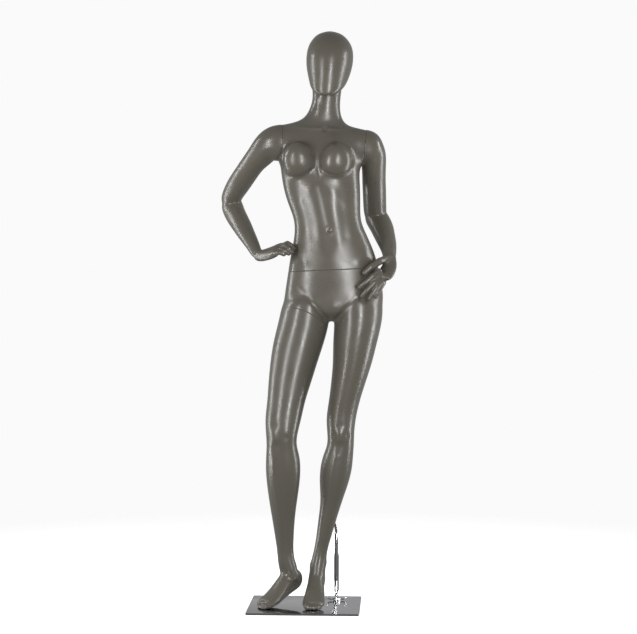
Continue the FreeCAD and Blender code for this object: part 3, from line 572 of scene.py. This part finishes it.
body = {
    "voxel": 0.0027,
    "softRounds": 16,
    "blendRounds": 170,
    "blendFrom": 925,
    "blendTo": 1620,
    "creaseWidth": 16,
    "ankleWidth": 34,
    "ankles": ([(-55, 20, 128), (-50, 14, 84)], [(41, 46, 128), (37, 34, 84)]),
    "ankleRounds": 70,
    "ankleRestore": 1.9,
}
trunkMesh = evenMesh(trunkSource(), body["voxel"])
print("trunk skin:", len(trunkMesh.vertices), "points")

co = points(trunkMesh)
height = co[:, 2] * 1000 - soleHeight
weight = np.ones(len(co))
weight[height < 100] = 0.35
weight[height < 40] = 0.15
relax(trunkMesh, weight, body["softRounds"])

# wide blends where two forms meet, kept away from the creases
co = points(trunkMesh)
height = co[:, 2] * 1000 - soleHeight
blendZone = np.clip((height - body["blendFrom"]) / 40, 0, 1) * np.clip((body["blendTo"] - height) / 20, 0, 1)
underBreast = [
    [(-64, -40, 1372), (-52, -72, 1350), (-24, -84, 1341), (8, -84, 1350), (34, -78, 1368)],
    [(64, -78, 1368), (82, -84, 1350), (112, -84, 1341), (142, -66, 1350), (154, -38, 1372)],
]
for line in underBreast:
    blendZone *= 1 - nearness(co, line, body["creaseWidth"])
relax(trunkMesh, blendZone, body["blendRounds"])

# smooths each ankle where the leg meets the foot, then gives back its fullness
for ankle in body["ankles"]:
    zone = nearness(points(trunkMesh), ankle, body["ankleWidth"])
    relax(trunkMesh, zone, body["ankleRounds"])
    press(trunkMesh, ankle, body["ankleWidth"], body["ankleRestore"])
for line, width, amount in sculpt:
    press(trunkMesh, line, width, amount)
for shoulder in shoulders.values():
    seamGroove(trunkMesh, shoulder["centre"], shoulder["out"], seams["shoulderReach"])
seamGroove(trunkMesh, waist["centre"], waist["up"], seams["waistReach"])
seamGroove(trunkMesh, thigh["centre"], thigh["up"], seams["thighReach"])
gap = seams["gap"] / 1000
print("trunk shaped, seams grooved")


def wells(centre, axis, plate, pocket, deep):
    return well(centre, axis, (plate + 0.15) / 1000, plateThick / 1000, pocket / 1000, deep / 1000)


torsoBlock = block([(waist["centre"] + waist["up"] * gap, -waist["up"]), (neckTop, Vector((0, 0, 1)))])
torsoMesh = carve(trunkMesh.copy(), [torsoBlock], "INTERSECT")
cutters = []
for shoulder in shoulders.values():
    cutters.append(jointBlock(shoulder["centre"] - shoulder["out"] * gap, shoulder["out"], 0.078, 0.2))
    cutters.append(wells(shoulder["centre"], -shoulder["out"], shoulderPlate, 28.0, pocketDepth))
cutters.append(wells(waist["centre"], waist["up"], waist["plate"], 47.0, pocketDepth))
torsoMesh = carve(torsoMesh, cutters, "DIFFERENCE")

legBlock = block([(thigh["centre"] - thigh["up"] * gap, thigh["up"]), (middle, Vector((1, 0, 0)))])
legMesh = carve(trunkMesh.copy(), [legBlock], "INTERSECT")
legMesh = onlyLargest(legMesh)
legMesh = carve(legMesh, [wells(thigh["centre"], -thigh["up"], thigh["plate"], 0, 0)], "DIFFERENCE")

hipMesh = carve(trunkMesh.copy(), [block([(waist["centre"] - waist["up"] * gap, -waist["up"])])], "DIFFERENCE")
hipMesh = carve(hipMesh, [
    block([
        (thigh["centre"] + thigh["up"] * gap, thigh["up"]),
        (middle, Vector((1, 0, 0))),
        (spot(0, 0, 700), Vector((0, 0, -1))),
    ]),
    wells(waist["centre"], -waist["up"], waist["plate"], 0, 0),
    wells(thigh["centre"], thigh["up"], thigh["plate"], thigh["pocket"], pocketDepth),
], "DIFFERENCE")
hipMesh = onlyLargest(hipMesh)
for label, made in (("torso", torsoMesh), ("leg", legMesh), ("hips", hipMesh)):
    print(label, len(made.vertices), len(made.polygons))


def skinPiece(name, mesh, body, node):
    obj = meshObject(name, mesh, taupeLacquer)
    mesh.shade_smooth()
    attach(obj, body)
    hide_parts(node)


skinPiece("torsoSkin", torsoMesh, "upper_figure", "upper_torso")
skinPiece("rightLegSkin", legMesh, "free_leg", "right_leg")
skinPiece("hipsAndLeftLegSkin", hipMesh, "lower_figure", "hips_and_left_leg")

arms = {
    "voxel": 0.0017,
    "softRounds": 12,
    "handShare": 0.4,         # of the smoothing that the thin fingers take
    "shoulderRounds": 260,
    # place, width, rounds and the fullness given back, in mm
    "joins": {
        "right": [((-151, 20, 1105), 26, 140, 2.0), ((-92, -30, 1113), 26, 40, 0.4)],
        "left": [
            ((265, -24, 1084), 26, 140, 2.0),
            ((258, -48, 1086), 24, 120, 1.2),
            ((243, -90, 1030), 26, 45, 0.4),
        ],
    },
}
for side, shoulder in shoulders.items():
    bm = outerSkin(side + "_arm")
    torso = outerSkin("upper_torso")
    trim(torso, spot(0, 0, 1385), Vector((0, 0, -1)))
    if side == "right":
        trim(torso, spot(15, 0, 0), Vector((1, 0, 0)))
    else:
        trim(torso, spot(95, 0, 0), Vector((-1, 0, 0)))
    joinInto(bm, torso)
    armMesh = evenMesh(bm, arms["voxel"])
    co = points(armMesh)
    height = co[:, 2] * 1000 - soleHeight
    limb = np.clip((height - 1130) / 20, arms["handShare"], 1)
    relax(armMesh, limb, arms["softRounds"])
    for place, width, rounds, restore in arms["joins"][side]:
        relax(armMesh, nearness(points(armMesh), [place], width), rounds)
        press(armMesh, [place], width, restore)
    shoulderZone = np.clip((height - 1400) / 40, 0, 1)
    relax(armMesh, shoulderZone, arms["shoulderRounds"])
    seamGroove(armMesh, shoulder["centre"], shoulder["out"], seams["shoulderReach"])
    inner = jointBlock(shoulder["centre"] + shoulder["out"] * gap, -shoulder["out"], 0.13, 0.3)
    armMesh = onlyLargest(carve(armMesh, [inner], "DIFFERENCE"))
    armMesh = carve(armMesh, [wells(shoulder["centre"], shoulder["out"], shoulderPlate, 0, 0)], "DIFFERENCE")
    print(side, "arm", len(armMesh.vertices))
    skinPiece(side + "ArmSkin", armMesh, side + "_arm_group", side + "_arm")

egg = {"voxel": 0.0024, "rounds": 30, "neck": 46.6}
bm = outerSkin("head")
hull = bmesh.ops.convex_hull(bm, input=bm.verts)
shell = set(g for g in hull["geom"] if isinstance(g, bmesh.types.BMFace))
bmesh.ops.delete(bm, geom=[f for f in bm.faces if f not in shell], context="FACES")
bmesh.ops.delete(bm, geom=[v for v in bm.verts if not v.link_faces], context="VERTS")
headMesh = evenMesh(bm, egg["voxel"])
relax(headMesh, np.ones(len(headMesh.vertices)), egg["rounds"])
# clears the neck below the head and the bore for the bush, in metres
neckRadius = egg["neck"] / 1000
reliefProfile = [(0, -0.2), (neckRadius, -0.2), (neckRadius, 0.0005), (0.017, 0.0005), (0.017, 0.0296), (0, 0.0296)]
relief = turned(lathe(reliefProfile, 96), neckTop, (0, 0, 1))
headMesh = carve(headMesh, [relief], "DIFFERENCE")
skinPiece("headSkin", headMesh, "head_group", "head")
print("head shaped")

steel = {                       # mm, heights above the top of the plate
    "tube": 8.0, "tubeLow": 32.0, "tubeHigh": 214.0, "bore": 5.5, "seat": 5.0,
    "pin": 5.0, "bendStart": 218.0, "bendRadius": 60.0, "reach": 122.0,
    "ball": 6.6, "ballHeight": 16.0, "neck": 4.2, "thread": 4.0, "lean": 15, "heading": 37,
    "washer": 10.0, "washerThick": 1.4, "softEdge": 0.8, "fitLength": 40,
}
studLow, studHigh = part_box("base_stud")
rodPlace = Vector(((studLow.x + studHigh.x) / 2, (studLow.y + studHigh.y) / 2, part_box("base_plate")[1].z))


def metalPiece(name, bm, material, body, node):
    obj = bmeshObject(name, bm, material)
    obj.data.shade_smooth()
    obj.data.set_sharp_from_angle(angle=math.radians(35))
    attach(obj, body)
    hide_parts(node)


def rodPiece(name, bm, node):
    bmesh.ops.translate(bm, vec=rodPlace, verts=bm.verts)
    metalPiece(name, bm, chromedTube, "base", node)


def mm(profile):
    return [(r / 1000, z / 1000) for r, z in profile]


def arcPoints(centreR, centreZ, radius, start, end, steps):
    # rounded corner of a lathe profile, angles in degrees
    angles = [math.radians(start + (end - start) * k / steps) for k in range(steps + 1)]
    return [(centreR + radius * math.cos(a), centreZ + radius * math.sin(a)) for a in angles]


r = steel
tube = [(r["bore"], r["tubeLow"])]
tube += arcPoints(r["tube"] - r["softEdge"], r["tubeLow"] + r["softEdge"], r["softEdge"], -90, 0, 5)
tube += arcPoints(r["tube"] - r["softEdge"], r["tubeHigh"] - r["softEdge"], r["softEdge"], 0, 90, 5)
fitEnd = r["tubeHigh"] - r["fitLength"]
tube += [(r["seat"], r["tubeHigh"]), (r["seat"], fitEnd), (r["bore"], fitEnd), (r["bore"], r["tubeLow"])]
rodPiece("chromedTube", lathe(mm(tube), 96), "rod_tube")

ballFlat = r["ballHeight"] - r["ball"] + 0.6
foot = [(r["thread"], ballFlat)]
foot += [q for q in arcPoints(0, r["ballHeight"], r["ball"], -64, 50, 22) if q[1] > ballFlat]
foot += arcPoints(r["neck"] + 1.4, 22.5, 1.4, 250, 180, 5)
foot += arcPoints(r["neck"] + 1.2, 27.8, 1.2, 180, 90, 5)
foot += arcPoints(6.4, 29.8, 0.8, -90, 0, 4)
foot += [(7.2, 31.4), (6.8, 32.0), (r["bore"], 32.0), (r["bore"], 50.0)]
foot += [(0, 50.0), (0, 18.4), (r["thread"], 18.4), (r["thread"], ballFlat)]
rodPiece("rodBall", lathe(mm(foot), 72), "rod_foot")

hole = r["thread"] + 0.06
washer = [(hole, 0), (r["washer"] - 0.4, 0)]
washer += arcPoints(r["washer"] - 0.4, r["washerThick"] - 0.4, 0.4, 0, 90, 4)
washer += [(hole, r["washerThick"]), (hole, 0)]
rodPiece("footWasher", lathe(mm(washer), 64), "foot_washer")

# centre line of the pin: straight in the tube, a bend, then straight up into the calf
pinPath = [(0, fitEnd), (0, r["tubeHigh"] - 18), (0, r["bendStart"])]
lean = math.radians(r["lean"])
for k in range(1, 13):
    a = lean * k / 12
    pinPath.append((r["bendRadius"] * (1 - math.cos(a)), r["bendStart"] + r["bendRadius"] * math.sin(a)))
last = pinPath[-1]
for share in (0.25, 0.5, 0.75, 0.985):
    pinPath.append((last[0] + r["reach"] * share * math.sin(lean), last[1] + r["reach"] * share * math.cos(lean)))
bm = bmesh.new()
bmesh.ops.create_circle(bm, segments=48, radius=r["pin"] / 1000)
bmesh.ops.translate(bm, vec=(0, 0, pinPath[0][1] / 1000), verts=bm.verts)
bm.faces.new(bm.verts[:])
edges = bm.edges[:]
heading = math.radians(r["heading"])
side = Vector((-math.cos(heading), -math.sin(heading), 0))
before = Vector((0, 0, pinPath[0][1] / 1000))
beforeAngle = 0.0
for k, (out, up) in enumerate(pinPath[1:], 1):
    grown = bmesh.ops.extrude_edge_only(bm, edges=edges)
    verts = [g for g in grown["geom"] if isinstance(g, bmesh.types.BMVert)]
    edges = [g for g in grown["geom"]
             if isinstance(g, bmesh.types.BMEdge) and all(v in verts for v in g.verts)]
    centre = side * (out / 1000) + Vector((0, 0, up / 1000))
    angle = 0.0 if k < 3 else min(lean, lean * (k - 2) / 12)
    turn = Matrix.Rotation(angle - beforeAngle, 3, side.cross(Vector((0, 0, 1))) * -1)
    bmesh.ops.rotate(bm, cent=before, matrix=turn, verts=verts)
    bmesh.ops.translate(bm, vec=centre - before, verts=verts)
    before, beforeAngle = centre, angle
tipFace = bmesh.ops.holes_fill(bm, edges=edges)["faces"]
rim = [e for f in tipFace for e in f.edges]
bmesh.ops.bevel(bm, geom=rim, offset=0.0012, segments=3, profile=0.5, affect="EDGES", material=-1)
bmesh.ops.recalc_face_normals(bm, faces=bm.faces)
rodPiece("leaningPin", bm, "rod_pin")


def softEdged(name, node, body, material, width, segments):
    # a machined part with its sharp edges broken
    bm = bmesh.new()
    bm.from_mesh(nodes[node].data)
    bmesh.ops.remove_doubles(bm, verts=bm.verts, dist=weldDistance)
    bmesh.ops.dissolve_limit(bm, angle_limit=math.radians(1), verts=bm.verts, edges=bm.edges)
    sharp = [e for e in bm.edges if e.is_manifold and e.calc_face_angle() > math.radians(40)]
    bmesh.ops.bevel(bm, geom=sharp, offset=width, segments=segments, profile=0.5, affect="EDGES",
                    material=-1, clamp_overlap=True)
    metalPiece(name, bm, material, body, node)


softEdged("steelPlate", "base_plate", "base", mirrorSteel, 0.0009, 3)
softEdged("wingNut", "wing_nut", "nut", chromedTube, 0.0003, 2)
print("base and rod made")

for name, node in nodes.items():
    material = zincPlate
    if name == "base_plate":
        material = mirrorSteel
    elif name in ("rod_foot", "rod_tube", "rod_pin", "wing_nut", "foot_washer", "base_stud"):
        material = chromedTube
    elif name == "base_pad":
        material = padRubber
    elif name == "head_bush":
        material = nylonBush
    node.data.materials.clear()
    node.data.materials.append(material)

studio = {
    "middle": 0.08,             # metres, where the figure stands from side to side
    "floorRadius": 2.4,
    "backdrop": 0.955,
    "floorGlow": 0.72,          # lit from below, so that only contact shadows stay
    "surroundings": 0.19,       # what the lacquer mirrors in front of the figure
    "behind": 0.42,             # and behind it
    # name: angle from the camera's side in degrees (+ towards +X), distance, width, height, middle height, watts
    "strips": {
        "sideLeft": (-104, 2.0, 0.24, 2.5, 1.15, 26),
        "sideRight": (100, 2.0, 0.28, 2.5, 1.15, 34),
        "frontRight": (19, 3.2, 0.42, 2.2, 1.25, 85),
        "frontLeft": (-43, 3.0, 0.40, 2.2, 1.25, 55),
    },
}


def stageFloor():
    # pale paper floor that fades into the backdrop
    bm = bmesh.new()
    bmesh.ops.create_circle(bm, cap_ends=True, segments=96, radius=studio["floorRadius"])
    material, tree = newMaterial("paleFloor")
    place = addNode(tree, "ShaderNodeTexCoord").outputs["Object"]
    length = addNode(tree, "ShaderNodeVectorMath", {"operation": "LENGTH"}, {0: place})
    fade = addNode(tree, "ShaderNodeMapRange", {"From Min": 0.8, "From Max": studio["floorRadius"] - 0.1},
                   {"Value": length.outputs["Value"]})
    sheet = addNode(tree, "ShaderNodeBsdfDiffuse", {"Color": (0.8, 0.8, 0.8, 1)})
    glow = addNode(tree, "ShaderNodeEmission", {"Color": (1, 1, 1, 1), "Strength": studio["floorGlow"]})
    paper = addNode(tree, "ShaderNodeAddShader", links={0: sheet.outputs[0], 1: glow.outputs[0]})
    clear = addNode(tree, "ShaderNodeBsdfTransparent")
    mixed = addNode(tree, "ShaderNodeMixShader",
                    links={0: fade.outputs["Result"], 1: paper.outputs[0], 2: clear.outputs[0]})
    finishMaterial(tree, mixed)
    floor = bmeshObject("paperFloor", bm, material)
    floor.visible_glossy = False
    floor.visible_diffuse = False


def stripLight(name, angle, distance, width, height, middleHeight, watts):
    data = bpy.data.lights.new(name, "AREA")
    data.shape = "RECTANGLE"
    data.size = width
    data.size_y = height
    data.energy = watts
    light = bpy.data.objects.new(name, data)
    a = math.radians(angle)
    light.location = (studio["middle"] + distance * math.sin(a), -distance * math.cos(a), middleHeight)
    towards = Vector((studio["middle"], 0, middleHeight)) - Vector(light.location)
    light.rotation_euler = towards.to_track_quat("-Z", "Y").to_euler()
    light.visible_camera = False
    scene.collection.objects.link(light)


def studioWorld():
    world = bpy.data.worlds.new("studio")
    world.use_nodes = True
    tree = world.node_tree
    tree.nodes.clear()
    seen = addNode(tree, "ShaderNodeLightPath").outputs["Is Camera Ray"]
    backdrop = addNode(tree, "ShaderNodeBackground", {"Color": (1, 1, 1, 1), "Strength": studio["backdrop"]})
    facing = addNode(tree, "ShaderNodeTexCoord").outputs["Generated"]
    depth = addNode(tree, "ShaderNodeSeparateXYZ", links={0: facing}).outputs["Y"]
    strength = addNode(tree, "ShaderNodeMapRange", {
        "From Min": -0.3, "From Max": 1.0, "To Min": studio["surroundings"], "To Max": studio["behind"]}, {0: depth})
    room = addNode(tree, "ShaderNodeBackground", {"Color": (1, 1, 1, 1)}, {"Strength": strength.outputs[0]})
    mixed = addNode(tree, "ShaderNodeMixShader", links={0: seen, 1: room.outputs[0], 2: backdrop.outputs[0]})
    addNode(tree, "ShaderNodeOutputWorld", links={"Surface": mixed.outputs[0]})
    scene.world = world


stageFloor()
for name, values in studio["strips"].items():
    stripLight(name, *values)
studioWorld()
scene.view_settings.view_transform = "Standard"

view = {"place": (0.2929, -5.1828, 0.9912), "turn": 2.759, "lens": 93.02, "shift": -0.0388}
cameraData = bpy.data.cameras.new("camera")
cameraData.lens = view["lens"]
cameraData.sensor_width = 36.0
cameraData.shift_y = view["shift"]
cameraData.clip_end = 50.0
camera = bpy.data.objects.new("camera", cameraData)
camera.location = view["place"]
camera.rotation_euler = (math.radians(90), 0, math.radians(view["turn"]))
scene.collection.objects.link(camera)
scene.camera = camera
print("studio ready")
